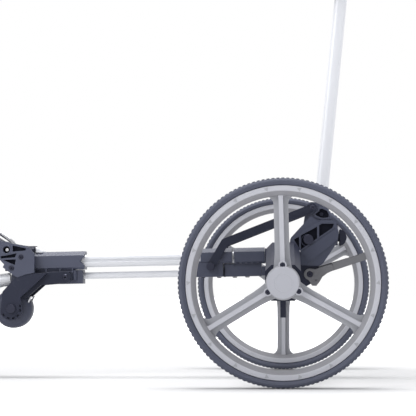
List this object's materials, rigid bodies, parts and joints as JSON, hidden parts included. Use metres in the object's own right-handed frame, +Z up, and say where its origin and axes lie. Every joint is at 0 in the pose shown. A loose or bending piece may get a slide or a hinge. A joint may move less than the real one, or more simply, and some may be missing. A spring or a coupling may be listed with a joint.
{
  "type": "folding golf push cart",
  "caption": "Three-wheeled golf push cart with a one-motion fold: spoked wheels, tube frame, sliding linkage, turning front fork, foot brake, folding handle and bag cradle.",
  "frame": {"origin": "on the ground, under the middle of the cart's length and width", "axes": "+Z up, +X towards the rear where the user walks, -X towards the front wheel, +Y to the right-hand side"},
  "size_m": [1.1022, 0.671, 0.995],
  "materials": {
    "frame_black": "satin",
    "housing": "satin",
    "link": "satin",
    "tube": "satin anodised",
    "tyre": "matt",
    "rim_grey": "satin",
    "cap_grey": "satin",
    "steel": "zinc plated",
    "bolt": "satin",
    "pedal_grey": "satin",
    "webbing": "woven",
    "grip": "matt foam"
  },
  "bodies": {
    "chassis": {"main_tube": "tube", "front_sleeve": "housing", "rear_sleeve": "housing", "front_hub_core": "frame_black", "front_hub_left": "housing", "front_hub_right": "housing", "fork_pivot_pin": "bolt", "bag_shelf": "frame_black", "bag_foot_wire": "steel", "rear_core": "frame_black", "rear_bracket_left": "housing", "rear_bracket_right": "housing", "latch_block": "frame_black", "fold_pivot_bolt": "bolt", "pedal_pin": "bolt", "axle_arm_left": "frame_black", "axle_arm_right": "frame_black", "rear_axle_left": "steel", "rear_axle_right": "steel"},
    "slider": {"slider": "housing", "push_rod": "tube", "front_carriage": "frame_black"},
    "drag_link": {"drag_link_left": "link", "drag_link_right": "link", "slider_pin": "bolt"},
    "front_link": {"front_link_left": "link", "front_link_right": "link", "front_link_pin": "bolt"},
    "fork": {"fork_housing": "housing", "fork_stem": "tube", "fork_crown": "frame_black", "front_axle": "steel"},
    "front_wheel": {"front_wheel_tyre": "tyre", "front_wheel_rim": "rim_grey", "front_wheel_bearing": "steel"},
    "left_wheel": {"left_wheel_tyre": "tyre", "left_wheel_rim": "rim_grey", "left_wheel_bearing": "steel", "left_hub_cap": "cap_grey"},
    "right_wheel": {"right_wheel_tyre": "tyre", "right_wheel_rim": "rim_grey", "right_wheel_bearing": "steel", "right_hub_cap": "cap_grey"},
    "upright": {"upright_knuckle": "housing", "upright_tube": "tube", "hinge_base": "frame_black", "hinge_pin": "bolt", "upper_cradle": "frame_black", "upper_strap": "webbing"},
    "handle": {"hinge_tongue": "frame_black", "handle_tube": "tube", "handle_yoke": "frame_black", "handle_bar": "grip", "console_tray": "frame_black"},
    "clamp_lever": {"clamp_lever": "bolt"},
    "console_lid": {"console_lid": "housing"},
    "release_knob": {"release_knob": "frame_black"},
    "brake_pedal": {"brake_pedal": "pedal_grey"},
    "brake_pin_left": {"brake_pin_left": "steel"},
    "brake_pin_right": {"brake_pin_right": "steel"}
  },
  "joints": [
    {"name": "upright_fold", "type": "hinge", "parent": "chassis", "child": "upright", "pos_m": [0.24884, 0, 0.2186], "axis": [0, -1, 0], "range_deg": [0, 95]},
    {"name": "slider_slide", "type": "slide", "parent": "chassis", "child": "slider", "axis": [-0.9998, 0, -0.0209], "range_m": [0, 0.07672]},
    {"name": "drag_link_pivot", "type": "hinge", "parent": "slider", "child": "drag_link", "pos_m": [0.09468, 0, 0.1758], "axis": [0, 1, 0], "range_deg": [0, 15.23]},
    {"name": "front_link_pivot", "type": "hinge", "parent": "fork", "child": "front_link", "pos_m": [-0.20209, 0, 0.13411], "axis": [0, 1, 0], "range_deg": [0, 111.85]},
    {"name": "fork_turn", "type": "hinge", "parent": "chassis", "child": "fork", "pos_m": [-0.22076, 0, 0.10936], "axis": [0, -1, 0], "range_deg": [0, 149.29]},
    {"name": "front_wheel_spin", "type": "hinge", "parent": "fork", "child": "front_wheel", "pos_m": [-0.42606, 0, 0.125], "axis": [0, 1, 0], "continuous": true},
    {"name": "left_wheel_spin", "type": "hinge", "parent": "chassis", "child": "left_wheel", "pos_m": [0.20944, -0.31, 0.15], "axis": [0, 1, 0], "continuous": true},
    {"name": "right_wheel_spin", "type": "hinge", "parent": "chassis", "child": "right_wheel", "pos_m": [0.20944, 0.31, 0.15], "axis": [0, 1, 0], "continuous": true},
    {"name": "handle_fold", "type": "hinge", "parent": "upright", "child": "handle", "pos_m": [0.32946, 0, 0.64568], "axis": [0, 1, 0], "range_deg": [0, 150.7]},
    {"name": "clamp_lever_open", "type": "hinge", "parent": "handle", "child": "clamp_lever", "pos_m": [0.32673, 0.0226, 0.67933], "axis": [-0.8192, 0, 0.5736], "range_deg": [0, 110]},
    {"name": "console_lid_open", "type": "hinge", "parent": "handle", "child": "console_lid", "pos_m": [0.3416, 0, 0.84903], "axis": [0, -1, 0], "range_deg": [0, 105]},
    {"name": "release_knob_pull", "type": "slide", "parent": "chassis", "child": "release_knob", "axis": [1, 0, 0], "range_m": [0, 0.006], "stiffness_N_per_m": 400},
    {"name": "brake_pedal_press", "type": "hinge", "parent": "chassis", "child": "brake_pedal", "pos_m": [0.25124, 0, 0.164], "axis": [0, 1, 0], "range_deg": [0, 18]},
    {"name": "brake_pin_left_slide", "type": "slide", "parent": "chassis", "child": "brake_pin_left", "axis": [0, -1, 0], "range_m": [0, 0.008]},
    {"name": "brake_pin_right_slide", "type": "slide", "parent": "chassis", "child": "brake_pin_right", "axis": [0, 1, 0], "range_m": [0, 0.008]}
  ],
  "couplings": [
    {"joint": "slider_slide", "follows": "upright_fold", "m_per_rad": 0.04627},
    {"joint": "drag_link_pivot", "follows": "upright_fold", "ratio": 0.16032},
    {"joint": "front_link_pivot", "follows": "upright_fold", "ratio": 1.1774},
    {"joint": "fork_turn", "follows": "upright_fold", "ratio": 1.5715},
    {"joint": "brake_pin_left_slide", "follows": "brake_pedal_press", "m_per_rad": 0.025464},
    {"joint": "brake_pin_right_slide", "follows": "brake_pedal_press", "m_per_rad": 0.025464}
  ]
}
